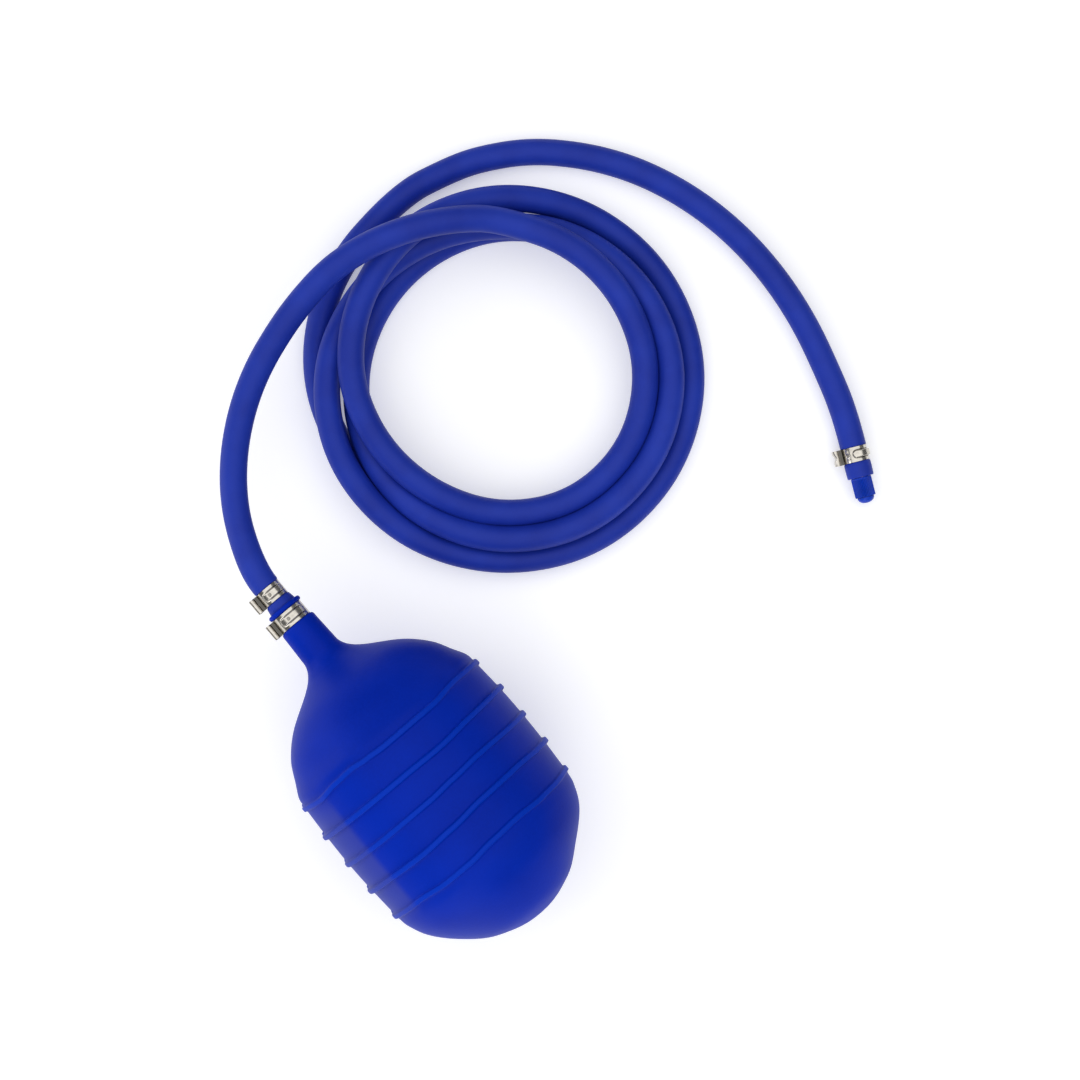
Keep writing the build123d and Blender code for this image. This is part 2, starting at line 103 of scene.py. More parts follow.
class PlugBladderSizes(bpy.types.PropertyGroup):
    """Sizes of the bladder"""

    crest_radius: length_value("Crest radius", "Radius over the crests of the ribs", CREST_RADIUS)
    skin_radius: length_value("Skin radius", "Radius of the skin at the middle rib", 49.3 * MM)
    end_skin_radius: length_value("End skin radius", "Radius of the skin at the end ribs", 48.2 * MM)
    wall: length_value("Wall", "Thickness of the rubber", 2.7 * MM)
    rib_pitch: length_value("Rib pitch", "Distance from one rib to the next", 15 * MM)
    rib_width: length_value("Rib width", "Width of each rib at its crest", 2.3 * MM)
    last_rib_y: length_value("Last rib", "Place of the rib nearest the tail", -51 * MM)
    rib_count: IntProperty(name="Ribs", description="Number of ring ribs", default=5, min=1, max=9)
    neck_radius: length_value("Neck radius", "Radius of the neck by its clamp", 8.5 * MM)
    softness: length_value("Softness", "How far the soft skin strays from round", 0.3 * MM)
    around: IntProperty(name="Steps", description="Steps round the bladder", default=224, min=32)


class PlugHoseSizes(bpy.types.PropertyGroup):
    """Sizes of the filling hose"""

    radius: length_value("Radius", "Outer radius of the hose", 6 * MM)
    bore_radius: length_value("Bore radius", "Inner radius of the hose", 3.5 * MM)
    squeezed_radius: length_value("Squeezed radius", "Outer radius under a clamp", 5.3 * MM)
    length: length_value("Length", "Length from the neck to the valve's end", 2.33)


class PlugClampSizes(bpy.types.PropertyGroup):
    """Sizes of the ear clamps"""

    width: length_value("Strip width", "Width of the steel strip", 7 * MM)
    thickness: length_value("Strip thickness", "Thickness of the steel strip", 0.6 * MM)
    leg_height: length_value("Leg height", "Height of the ear's legs over the band", 1.6 * MM)
    head_width: length_value("Head width", "Width of the ear's crimped head", 5.4 * MM)
    head_height: length_value("Head height", "Height of the ear's crimped head", 2.6 * MM)


class PlugValveSizes(bpy.types.PropertyGroup):
    """Sizes of the valve and its dust cap"""

    thread_radius: length_value("Thread radius", "Outer radius of the valve's thread", 3.85 * MM)
    thread_pitch: length_value("Thread pitch", "Advance in one turn of the dust cap", 0.79375 * MM)
    cap_radius: length_value("Cap radius", "Outer radius of the dust cap", 4.65 * MM)
    cap_rib_depth: length_value("Cap rib depth", "Depth of the grip's grooves", 0.35 * MM)
    cap_ribs: IntProperty(name="Cap ribs", description="Number of grip ribs", default=40, min=8)


class PlugColours(bpy.types.PropertyGroup):
    """Colours of the plug's finishes"""

    bladder: colour_value("Bladder", "Royal blue moulded rubber", (0.0, 0.018, 0.36))
    hose: colour_value("Hose", "Royal blue extruded rubber", (0.009, 0.030, 0.35))
    cap: colour_value("Cap", "Bright blue moulded plastic", (0.0, 0.042, 0.5))
    steel: colour_value("Steel", "Stainless strip", (0.60, 0.565, 0.505))
    brass: colour_value("Brass", "Turned brass", (0.72, 0.53, 0.25))
    seal: colour_value("Seals", "Black rubber", (0.02, 0.02, 0.022))
    floor: colour_value("Floor", "Plain pale floor", (0.86, 0.86, 0.86))


# ---- mesh helpers
def mix(low, high, share):
    """Value so far of the way from low to high."""
    return low + (high - low) * share


def ease(share):
    """0 to 1 with a soft start and end, held outside."""
    share = min(max(share, 0.0), 1.0)
    return share * share * (3 - 2 * share)


def between(stations, place):
    """Value at a place between stations (place, value), easing from each to the next."""
    if place <= stations[0][0]:
        return stations[0][1]
    for (left, before), (right, after) in zip(stations, stations[1:]):
        if place <= right:
            return mix(before, after, ease((place - left) / (right - left)))
    return stations[-1][1]


def smooth_outline(stations, parts):
    """Points on one smooth line through the stations, with so many parts between each two."""
    line = [Vector(station) for station in stations]
    line = [2 * line[0] - line[1], *line, 2 * line[-1] - line[-2]]
    points = []
    for before, start, end, after in zip(line, line[1:], line[2:], line[3:]):
        for step in range(parts):
            t = step / parts
            bend = (end - before) / 2
            last_bend = (after - start) / 2
            points.append(
                start * (2 * t**3 - 3 * t**2 + 1)
                + bend * (t**3 - 2 * t**2 + t)
                + end * (3 * t**2 - 2 * t**3)
                + last_bend * (t**3 - t**2)
            )
    points.append(line[-2])
    return [tuple(point) for point in points]


def split(point, origin, along):
    """A point's place along an axis, and its way out from the axis."""
    offset = point - origin
    place = offset.dot(along)
    return place, offset - along * place


def turned(profile, origin, along, outward, steps, closed=False):
    """A bmesh turned round an axis from (radius, distance along) pairs."""
    bm = bmesh.new()
    verts = [bm.verts.new(origin + outward * radius + along * place) for radius, place in profile]
    ends = verts + verts[:1] if closed else verts
    edges = [bm.edges.new(pair) for pair in zip(ends, ends[1:])]
    bmesh.ops.spin(
        bm,
        geom=verts + edges,
        cent=origin,
        axis=along,
        angle=math.tau,
        steps=steps,
        use_merge=True,
    )
    bmesh.ops.remove_doubles(bm, verts=bm.verts, dist=MERGE_DISTANCE)
    bmesh.ops.recalc_face_normals(bm, faces=bm.faces)
    return bm


def finished(bm, name, material, body, node, sharp=SHARP_ANGLE):
    """The bmesh as a smooth-shaded piece that rides on its body and stands for a node."""
    bmesh.ops.recalc_face_normals(bm, faces=bm.faces)
    for face in bm.faces:
        face.smooth = True
    for edge in bm.edges:
        edge.smooth = edge.calc_face_angle(0) < sharp
    mesh = bpy.data.meshes.new(name)
    bm.to_mesh(mesh)
    bm.free()
    mesh.materials.append(material)
    piece = bpy.data.objects.new(name, mesh)
    bpy.context.scene.collection.objects.link(piece)
    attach(piece, body)
    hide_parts(node)
    return piece


# ---- materials
def node_material(name, **sockets):
    """A material whose shader has these plain values, with its node tree and its shader."""
    material = bpy.data.materials.get(name) or bpy.data.materials.new(name)
    material.use_nodes = True
    shader = material.node_tree.nodes["Principled BSDF"]
    for socket, value in sockets.items():
        shader.inputs[socket].default_value = value
    return material, material.node_tree, shader


def add_noise(tree, scale, detail, stretch=None, coordinate="Object"):
    """A noise texture in metres, stretched along an axis if asked."""
    place = tree.nodes.new("ShaderNodeTexCoord").outputs[coordinate]
    if stretch:
        mapping = tree.nodes.new("ShaderNodeMapping")
        mapping.inputs["Scale"].default_value = stretch
        tree.links.new(place, mapping.inputs["Vector"])
        place = mapping.outputs["Vector"]
    texture = tree.nodes.new("ShaderNodeTexNoise")
    texture.inputs["Scale"].default_value = scale
    texture.inputs["Detail"].default_value = detail
    tree.links.new(place, texture.inputs["Vector"])
    return texture.outputs["Fac"]


def add_ramp(tree, source, stops):
    """A colour ramp over a value: stops are (place, colour)."""
    ramp = tree.nodes.new("ShaderNodeValToRGB")
    while len(ramp.color_ramp.elements) < len(stops):
        ramp.color_ramp.elements.new(0.5)
    for element, (place, colour) in zip(ramp.color_ramp.elements, stops):
        element.position = place
        element.color = (*colour, 1)
    tree.links.new(source, ramp.inputs["Fac"])
    return ramp.outputs["Color"]


def add_range(tree, source, low, high):
    """A value from 0..1 spread over low..high."""
    spread = tree.nodes.new("ShaderNodeMapRange")
    spread.inputs["To Min"].default_value = low
    spread.inputs["To Max"].default_value = high
    tree.links.new(source, spread.inputs["Value"])
    return spread.outputs["Result"]


def add_mix(tree, share, first, second):
    """A colour that goes from first to second by a share."""
    blend = tree.nodes.new("ShaderNodeMix")
    blend.data_type = "RGBA"
    sockets = (blend.inputs[0], blend.inputs[6], blend.inputs[7])
    for socket, value in zip(sockets, (share, first, second)):
        if isinstance(value, bpy.types.NodeSocket):
            tree.links.new(value, socket)
        elif isinstance(value, (int, float)):
            socket.default_value = value
        else:
            socket.default_value = (*value, 1)
    return blend.outputs[2]


def add_bump(tree, shader, sources):
    """Bumps on the shader's normal: sources are (height, distance in metres, strength)."""
    normal = None
    for height, distance, strength in sources:
        bump = tree.nodes.new("ShaderNodeBump")
        bump.inputs["Distance"].default_value = distance
        bump.inputs["Strength"].default_value = strength
        tree.links.new(height, bump.inputs["Height"])
        if normal:
            tree.links.new(normal, bump.inputs["Normal"])
        normal = bump.outputs["Normal"]
    tree.links.new(normal, shader.inputs["Normal"])


def add_zone(tree, axis, start, end):
    """0 to 1, softly, as an object coordinate goes from start to end."""
    split = tree.nodes.new("ShaderNodeSeparateXYZ")
    tree.links.new(tree.nodes.new("ShaderNodeTexCoord").outputs["Object"], split.inputs[0])
    rise = tree.nodes.new("ShaderNodeMapRange")
    rise.interpolation_type = "SMOOTHSTEP"
    rise.inputs["From Min"].default_value = start
    rise.inputs["From Max"].default_value = end
    tree.links.new(split.outputs[axis], rise.inputs["Value"])
    return rise.outputs["Result"]


def add_product(tree, *shares):
    """Several shares multiplied together."""
    total = shares[0]
    for share in shares[1:]:
        times = tree.nodes.new("ShaderNodeMath")
        times.operation = "MULTIPLY"
        for socket, value in zip(times.inputs, (total, share)):
            if isinstance(value, bpy.types.NodeSocket):
                tree.links.new(value, socket)
            else:
                socket.default_value = value
        total = times.outputs[0]
    return total


def add_painted_shade(tree, surface, deep):
    """The surface's colour, turned to a deep one, painted shade, where the mesh says that it lies in a
    recess.
    """
    painted_shade = tree.nodes.new("ShaderNodeAttribute")
    painted_shade.attribute_name = "painted_shade"
    return add_mix(tree, painted_shade.outputs["Fac"], surface, deep)


def shaded(colour, share, tint=(1, 1, 1)):
    """The colour made darker or lighter by a share, and tinted."""
    return tuple(min(1.0, part * share * tinge) for part, tinge in zip(colour, tint))


def add_dust(tree, colour, dust_colour, scale, size, keep):
    """Colour with a few pale specks of dust on it."""
    cells = tree.nodes.new("ShaderNodeTexVoronoi")
    cells.inputs["Scale"].default_value = scale
    tree.links.new(tree.nodes.new("ShaderNodeTexCoord").outputs["Object"], cells.inputs["Vector"])
    near = add_ramp(tree, cells.outputs["Distance"], [(0.0, (1, 1, 1)), (size, (0, 0, 0))])
    few = add_ramp(tree, cells.outputs["Color"], [(keep, (0, 0, 0)), (keep + 0.01, (1, 1, 1))])
    return add_mix(tree, add_product(tree, near, few), colour, dust_colour)


def bladder_rubber(colour):
    """Matt moulded rubber: cloudy tone, fine grain, paler rib crests, a painted reflection on its left
    side and a little dust.
    """
    material, tree, shader = node_material("bladder_rubber")
    shader.inputs["Specular IOR Level"].default_value = 0.06
    cloud = add_noise(tree, 22, 3)
    deep = shaded(colour, 0.86)
    violet = shaded(colour, 1.08, (1, 1.1, 1.0))
    tone = add_ramp(tree, cloud, [(0.35, deep), (0.65, violet)])
    grain = add_noise(tree, 900, 2)
    speckle = add_mix(tree, add_range(tree, grain, 0.0, 0.3), tone, shaded(colour, 1.6))
    # the crests of the ribs are made paler and greener
    crest = tree.nodes.new("ShaderNodeAttribute")
    crest.attribute_name = "crest"
    paler_crests = add_product(tree, crest.outputs["Fac"], 0.55)
    ribbed = add_mix(tree, paler_crests, speckle, shaded(colour, 1.45, (1, 1.6, 1)))
    # painted reflection: a pale patch with a hard edge on the bladder's left flank, where a lamp's
    # reflection crosses the barrel, painted into the colour
    bloom_and_painted_reflection = add_product(
        tree,
        add_zone(tree, "X", -0.0325, -0.036),
        add_zone(tree, "Y", -0.060, -0.045),
        add_zone(tree, "Y", 0.012, -0.004),
        add_zone(tree, "Z", 0.045, 0.058),
        add_range(tree, cloud, 0.35, 0.6),
    )
    with_painted_reflection = add_mix(tree, bloom_and_painted_reflection, ribbed, (0.05, 0.065, 0.32))
    tinted = add_dust(tree, with_painted_reflection, (0.30, 0.34, 0.50), 95, 0.045, 0.90)
    tree.links.new(tinted, shader.inputs["Base Color"])
    tree.links.new(add_range(tree, cloud, 0.42, 0.52), shader.inputs["Roughness"])
    add_bump(tree, shader, [(grain, 0.00006, 0.7), (cloud, 0.0010, 0.3)])
    return material


def hose_rubber(colour):
    """Extruded rubber: the same blue, a little greyer, with fine grain and soft smears."""
    material, tree, shader = node_material("hose_rubber")
    shader.inputs["Specular IOR Level"].default_value = 0.2
    smear = add_noise(tree, 45, 4)
    deep = shaded(colour, 0.88)
    pale = shaded(colour, 1.1, (1.2, 1.15, 1.0))
    tone = add_ramp(tree, smear, [(0.35, deep), (0.65, pale)])
    grain = add_noise(tree, 1500, 2)
    speckle = add_mix(tree, add_range(tree, grain, 0.0, 0.2), tone, shaded(colour, 1.5))
    tree.links.new(speckle, shader.inputs["Base Color"])
    tree.links.new(add_range(tree, smear, 0.46, 0.6), shader.inputs["Roughness"])
    add_bump(tree, shader, [(grain, 0.00004, 0.6), (smear, 0.0005, 0.25)])
    return material


def cap_plastic(colour):
    """Satin moulded plastic with faint flow marks, and painted shade in its grooves."""
    material, tree, shader = node_material("cap_plastic", Roughness=0.45)
    shader.inputs["Specular IOR Level"].default_value = 0.25
    shader.inputs["Subsurface Weight"].default_value = 0.08
    shader.inputs["Subsurface Radius"].default_value = (0.0004, 0.0006, 0.002)
    flow = add_noise(tree, 350, 3)
    tone = add_ramp(tree, flow, [(0.3, shaded(colour, 0.85)), (0.7, shaded(colour, 1.1))])
    tree.links.new(add_painted_shade(tree, tone, shaded(colour, 0.22)), shader.inputs["Base Color"])
    add_bump(tree, shader, [(flow, 0.00006, 0.4)])
    return material


def clamp_steel(colour):
    """Rolled stainless strip: fine lines across its width, with scuffs, and painted shade in its
    recesses.
    """
    material, tree, shader = node_material("clamp_steel", Metallic=1.0)
    scuff = add_noise(tree, 700, 4)
    lines = add_noise(tree, 5200, 2, coordinate="UV")
    tone = add_ramp(tree, scuff, [(0.3, shaded(colour, 0.88)), (0.7, shaded(colour, 1.12))])
    # painted shade: the steel turns nearly black in the tongue's grooves and dimple and between the
    # ear's legs
    tree.links.new(add_painted_shade(tree, tone, shaded(colour, 0.1)), shader.inputs["Base Color"])
    tree.links.new(add_range(tree, scuff, 0.16, 0.27), shader.inputs["Roughness"])
    add_bump(tree, shader, [(lines, 0.00002, 0.2), (scuff, 0.00002, 0.2)])
    return material


def turned_brass(colour):
    """Turned brass, dulled a little by handling."""
    material, tree, shader = node_material("brass", Metallic=1.0)
    tarnish = add_noise(tree, 500, 4)
    dull = shaded(colour, 0.6, (0.95, 0.9, 0.8))
    tone = add_ramp(tree, tarnish, [(0.3, dull), (0.6, colour)])
    tree.links.new(tone, shader.inputs["Base Color"])
    tree.links.new(add_range(tree, tarnish, 0.42, 0.22), shader.inputs["Roughness"])
    add_bump(tree, shader, [(tarnish, 0.00003, 0.4)])
    return material


def black_rubber(colour):
    """Black seal rubber with a fine bloom."""
    material, tree, shader = node_material("core_rubber", Roughness=0.6)
    # the seal rubber's own fine bloom, no painted light
    bloom_and_painted_reflection = add_noise(tree, 1200, 3)
    tone = add_ramp(tree, bloom_and_painted_reflection, [(0.4, colour), (0.8, shaded(colour, 2.2))])
    tree.links.new(tone, shader.inputs["Base Color"])
    add_bump(tree, shader, [(bloom_and_painted_reflection, 0.00003, 0.5)])
    return material


def floor_paint(colour):
    """Plain pale studio floor with the faintest unevenness."""
    material, tree, shader = node_material("studio_floor", Roughness=0.9)
    shader.inputs["Specular IOR Level"].default_value = 0.1
    shader.inputs["Emission Color"].default_value = (1, 1, 1, 1)
    shader.inputs["Emission Strength"].default_value = 0.35
    patches = add_noise(tree, 3, 2)
    tone = add_ramp(tree, patches, [(0.3, shaded(colour, 0.99)), (0.7, colour)])
    tree.links.new(tone, shader.inputs["Base Color"])
    return material


# ---- bladder
# (radius, place): the tail counts from its pole, the shoulder from the middle of the plug
TAIL_OUTLINE = [
    (0.0, 0.0),
    (9.0, 0.85),
    (17.2, 3.3),
    (26.1, 7.6),
    (35.7, 16.0),
    (43.2, 25.0),
    (47.0, 33.6),
]
SHOULDER_OUTLINE = [
    (47.5, 14.2),
    (44.5, 19.6),
    (39.4, 28.3),
    (30.7, 37.0),
    (17.1, 45.6),
    (11.8, 50.0),
    (9.3, 54.3),
    (8.9, 59.0),
]
SECTION_WIDTH = 2.3 * MM
# (place in mm across a rib of that width, share of its height)
RIB_SECTION = [
    (-1.9, 0.0),
    (-1.6, 0.05),
    (-1.35, 0.24),
    (-1.12, 0.66),
    (-0.92, 0.9),
    (-0.6, 1.0),
    (0.0, 1.0),
    (0.6, 1.0),
    (0.92, 0.9),
    (1.12, 0.66),
    (1.35, 0.24),
    (1.6, 0.05),
    (1.9, 0.0),
]
# (place across the bladder, push towards the tail) of each rib in mm, from the tail's
RIB_WANDER = [
    [
        (-48, 1), (-43, 0.6), (-30, 0), (-17, 0.9), (-4, 0.7),
        (9, -0.4), (22, -0.7), (35, 0.3), (43, 0.4), (50, 0),
    ],
    [(-48, 1), (-35, 0.5), (-17, 0.7), (0, -0.1), (17, -1.3), (35, -1.3), (50, 0)],
    [(-48, 1), (-35, 0.8), (0, 0.4), (13, -0.3), (26, -0.9), (50, 0)],
    [(-48, 1), (-35, 0.9), (0, 0.9), (17, 1.3), (35, 0.3), (50, 0)],
    [
        (-48, 1), (-37, 1.8), (-26, 0.3), (-17, -0.2), (-9, 0.6),
        (0, 1.2), (26, 1.2), (39, -0.3), (50, 0),
    ],
]
WANDER_FADE = 18 * MM         # the push dies out so far beyond the end ribs
WANDER_BELOW = 0.6            # share of the push that the underside has
END_RIB_HEIGHT = 1.3 * MM
SOFT_SCALE = 32               # bumps of the soft skin in a metre
POLE_FADE = 14 * MM           # the skin stays round so near its axis
# soft dents: degrees round from +X, place along, depth, reach along, reach round in degrees
DENTS = [
    (8, -81, 1.9, 9, 40),
    (150, -84, 0.8, 9, 30),
    (60, 24, 0.9, 12, 28),
    (130, 20, 0.7, 10, 22),
    (-85, -30, 0.7, 25, 24),
]


def skin_radius(sizes, y):
    """Radius of the skin of the barrel: a shallow barrel arc."""
    half = sizes.rib_pitch * (sizes.rib_count - 1) / 2
    from_middle = (y - sizes.last_rib_y - half) / half
    return mix(sizes.skin_radius, sizes.end_skin_radius, from_middle**2)


def bladder_outline(sizes):
    """Outer outline of the bladder, (radius, place) from the tail's pole to the neck's clamp."""
    tail = [(radius * MM, TAIL_Y + place * MM) for radius, place in TAIL_OUTLINE]
    shoulder = [(radius * MM, place * MM) for radius, place in SHOULDER_OUTLINE]
    barrel = []
    for number in range(sizes.rib_count):
        rib_y = sizes.last_rib_y + number * sizes.rib_pitch
        end_rib = number in (0, sizes.rib_count - 1)
        crest = sizes.end_skin_radius + END_RIB_HEIGHT if end_rib else sizes.crest_radius
        for offset, share in RIB_SECTION:
            y = rib_y + offset * MM * sizes.rib_width / SECTION_WIDTH
            barrel.append((mix(skin_radius(sizes, y), crest, share), y))
        if number < sizes.rib_count - 1:
            for part in (0.25, 0.5, 0.75):
                y = rib_y + part * sizes.rib_pitch
                barrel.append((skin_radius(sizes, y), y))
    tail_line = smooth_outline([*tail, barrel[0]], 6)
    shoulder_line = smooth_outline([barrel[-1], *shoulder], 6)
    return [*tail_line, *barrel[1:-1], *shoulder_line]


def round_bladder(point):
    """Degrees round the bladder's axis from +X, and the distance from it."""
    x, z = point.x, point.z - CREST_RADIUS
    return math.degrees(math.atan2(z, x)), math.hypot(x, z)


def wander(sizes, point):
    """How far the rubber at a point is pushed along the bladder by its wavy ribs."""
    place = (point.y - sizes.last_rib_y) / sizes.rib_pitch
    last = sizes.rib_count - 1
    low = min(max(math.floor(place), 0), last)
    high = min(low + 1, last)
    degrees, _ = round_bladder(point)
    x = point.x / MM
    top = degrees > 0
    lines = [RIB_WANDER[number % len(RIB_WANDER)] for number in (low, high)]
    pushes = [between(line, x if top else -x) for line in lines]
    push = mix(*pushes, ease(place - low)) * (1.0 if top else WANDER_BELOW)
    outside = max(sizes.last_rib_y - point.y, point.y - sizes.last_rib_y - last * sizes.rib_pitch, 0)
    fade = 1 - ease(outside / WANDER_FADE)
    return -push * MM * fade


def neck_outline(neck_radius):
    """Outline of the neck's end, (radius, place): clamp's groove, lip, and back down its bore."""
    groove_start, groove_end = LIP_Y - 9.2 * MM, LIP_Y - 1.9 * MM
    squeezed_bore = 5.45 * MM
    bore = 6.05 * MM
    return [
        (neck_radius + 0.1 * MM, groove_start - 5.0 * MM),
        (neck_radius, groove_start - 1.2 * MM),
        (neck_radius - 0.3 * MM, groove_start - 0.4 * MM),
        (NECK_SQUEEZED, groove_start + 0.1 * MM),
        (NECK_SQUEEZED, groove_end - 0.2 * MM),
        (7.9 * MM, groove_end),
        (8.25 * MM, groove_end + 0.35 * MM),
        (8.3 * MM, LIP_Y - 0.8 * MM),
        (8.1 * MM, LIP_Y - 0.25 * MM),
        (7.7 * MM, LIP_Y),
        (6.75 * MM, LIP_Y),
        (6.5 * MM, LIP_Y - 0.2 * MM),
        (squeezed_bore, groove_end),
        (squeezed_bore, groove_start),
        (bore, groove_start - 0.6 * MM),
        (bore, LIP_Y - 28 * MM),
    ]


def cavity_outline(sizes, outer):
    """Outline of the bladder's cavity, (radius, place): the tail and shoulder a wall further in."""
    tail_end = TAIL_Y + 20 * MM
    shoulder_start = 12 * MM
    neck_foot_radius = 9.5 * MM
    inner = [(0.0, TAIL_Y + sizes.wall)]
    for radius, y in outer:
        barrel = sizes.last_rib_y <= y <= shoulder_start
        if radius > neck_foot_radius and not barrel:
            inner.append((radius - sizes.wall, y + (sizes.wall if y < tail_end else 0)))
    return inner


def dent_depth(point):
    """How deep the soft dents sink the skin at a point."""
    degrees, _ = round_bladder(point)
    depth = 0.0
    for around, along, deepest, reach, spread in DENTS:
        turn = (degrees - around + 180) % 360 - 180
        far = ((point.y / MM - along) / reach) ** 2 + (turn / spread) ** 2
        depth += deepest * MM * math.exp(-far)
    return depth


def make_bladder(sizes, material):
    """The bladder with its ribs, neck and lip, as one hollow moulding."""
    outer = bladder_outline(sizes)
    cavity = cavity_outline(sizes, outer)
    profile = [*outer, *neck_outline(sizes.neck_radius), *reversed(cavity)]
    bm = turned(profile, BLADDER_AXIS, LENGTHWISE, RIGHTWARD, sizes.around)
    crest = bm.verts.layers.float.new("crest")
    for vert in bm.verts:
        _, radius = round_bladder(vert.co)
        proud = (radius - skin_radius(sizes, vert.co.y)) / END_RIB_HEIGHT
        vert[crest] = ease((proud - 0.6) / 0.3)
        on_neck = radius < 10 * MM and vert.co.y > 0
        if on_neck:
            continue
        outward = Vector((vert.co.x, 0, vert.co.z - CREST_RADIUS)).normalized()
        push = wander(sizes, vert.co)
        sink = dent_depth(vert.co) + sizes.softness * noise.noise(vert.co * SOFT_SCALE)
        vert.co -= outward * sink * ease(radius / POLE_FADE)
        vert.co.y += push
    return finished(bm, "bladder_skin", material, "plug", "bladder")


# ---- hose
# out of the neck, round and down to the crossing on top of the coil
LEAD = [
    (0.0, 92.8, 50.7),
    (0.0, 99.5, 50.7),
    (6.6, 118.4, 49.0),
    (15.3, 133.8, 46.0),
    (27.2, 147.9, 42.0),
    (42.0, 160.1, 39.2),
    (58.4, 169.3, 37.6),
    (76.9, 175.8, 37.0),
    (92.2, 179.3, 37.6),
    (109.2, 181.2, 39.0),
    (124.3, 179.6, 40.2),
    (138.4, 176.0, 41.0),
    (153.2, 170.1, 40.6),
    (168.6, 161.5, 37.0),
]
# four loose turns, (radius, height) every 30 degrees, clockwise from COIL_START
COIL_EYE = (139.5, 101.5)
COIL_START = 50
COIL_STEP = -30
COIL_SPREAD = 1.035          # the line runs inside its points by so much
COIL_TURNS = [
    [
        (62.9, 31.2), (61.4, 30.0), (62.0, 26.0), (64.8, 19.5), (66.9, 16.5), (66.9, 16.3),
        (64.4, 17.0), (62.2, 23.2), (63.1, 25.8), (66.2, 25.6), (68.5, 27.6), (72.3, 28.2),
    ],
    [
        (75.8, 20.6), (79.9, 8.0), (83.3, 6.0), (86.5, 6.0), (87.7, 6.0), (87.5, 6.0),
        (85.5, 8.0), (84.4, 14.2), (82.0, 18.2), (77.3, 17.8), (70.6, 15.3), (65.4, 17.8),
    ],
    [
        (63.1, 18.7), (67.1, 18.4), (71.9, 18.1), (76.8, 17.3), (78.6, 16.6), (78.4, 16.8),
        (76.2, 17.6), (73.1, 18.8), (69.3, 14.5), (64.8, 6.0), (61.7, 6.0), (61.5, 6.0),
    ],
    [
        (64.3, 6.0), (68.0, 6.0), (70.2, 6.0), (71.5, 6.0), (72.3, 6.0), (72.4, 6.0),
        (72.4, 6.0), (74.8, 6.0), (79.0, 6.0), (83.6, 6.0), (86.0, 6.0), (88.7, 6.0),
    ],
]
# off the coil and over the floor to the valve
TAIL = [
    (180.0, 186.2, 6.0),
    (194.2, 181.0, 6.0),
    (213.9, 169.3, 6.0),
    (231.0, 152.2, 6.0),
    (243.7, 134.1, 6.0),
    (252.8, 114.5, 6.0),
    (258.9, 93.5, 6.0),
    (261.8, 71.8, 6.0),
    (261.6, 50.0, 6.0),
    (258.6, 28.4, 6.0),
    (253.0, 7.4, 6.2),
    (246.4, -13.5, 6.6),
]
VALVE_SEAM = -14.4            # where the hose's clamped end begins, from its end
NECK_SEAM = 92.8              # where the end in the neck begins, along the bladder
NECK_SWELL = 1.03             # the hose is so much wider by the neck's seam
END_STEPS = 72


def hose_line():
    """The hose's points, from the neck to the valve's clamp."""
    points = [Vector(point) * MM for point in LEAD]
    degrees = COIL_START
    for turn in COIL_TURNS:
        for radius, height in turn:
            reach = radius * COIL_SPREAD
            x = COIL_EYE[0] + reach * math.cos(math.radians(degrees))
            y = COIL_EYE[1] + reach * math.sin(math.radians(degrees))
            points.append(Vector((x, y, height)) * MM)
            degrees += COIL_STEP
    points.extend(Vector(point) * MM for point in TAIL)
    points.append(on_valve(VALVE_SEAM * MM))
    return points


def make_free_hose(sizes, material):
    """The hose's free length as one smooth tube."""
    points = hose_line()
    curve = bpy.data.curves.new("hose", "CURVE")
    curve.dimensions = "3D"
    spline = curve.splines.new("NURBS")
    spline.points.add(len(points) - 1)
    for knot, place in zip(spline.points, points):
        knot.co = (*place, 1)
    spline.order_u = 3
    spline.use_endpoint_u = True
    spline.resolution_u = 14
    spline.points[0].radius = NECK_SWELL
    spline.points[1].radius = 1.05
    curve.bevel_depth = sizes.radius
    curve.bevel_resolution = 8
    curve.use_fill_caps = True
    curve.materials.append(material)
    hose = bpy.data.objects.new("hose", curve)
    bpy.context.scene.collection.objects.link(hose)
    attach(hose, "plug")
    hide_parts("hose_coil")
    return hose


def make_neck_end(sizes, material):
    """The hose's end in the neck: squeezed by both clamps, swollen between them."""
    squeezed = sizes.squeezed_radius
    bore = sizes.bore_radius
    neck_profile = [
        (bore, 70.0 * MM),
        (5.9 * MM, 70.0 * MM),
        (5.9 * MM, 70.9 * MM),
        (5.35 * MM, 71.6 * MM),
        (5.35 * MM, 78.9 * MM),
        (6.3 * MM, 80.3 * MM),
        (6.55 * MM, 81.2 * MM),
        (6.35 * MM, 82.4 * MM),
        (6.15 * MM, 83.6 * MM),
        (5.95 * MM, 84.3 * MM),
        (squeezed, 84.8 * MM),
        (squeezed, 91.6 * MM),
        (5.9 * MM, 91.9 * MM),
        (6.1 * MM, 92.3 * MM),
        (sizes.radius * NECK_SWELL, NECK_SEAM * MM),
        (bore, NECK_SEAM * MM),
    ]
    bm = turned(neck_profile, BLADDER_AXIS, LENGTHWISE, LEFTWARD, END_STEPS, closed=True)
    return finished(bm, "hose_neck_end", material, "plug", "hose_lead")


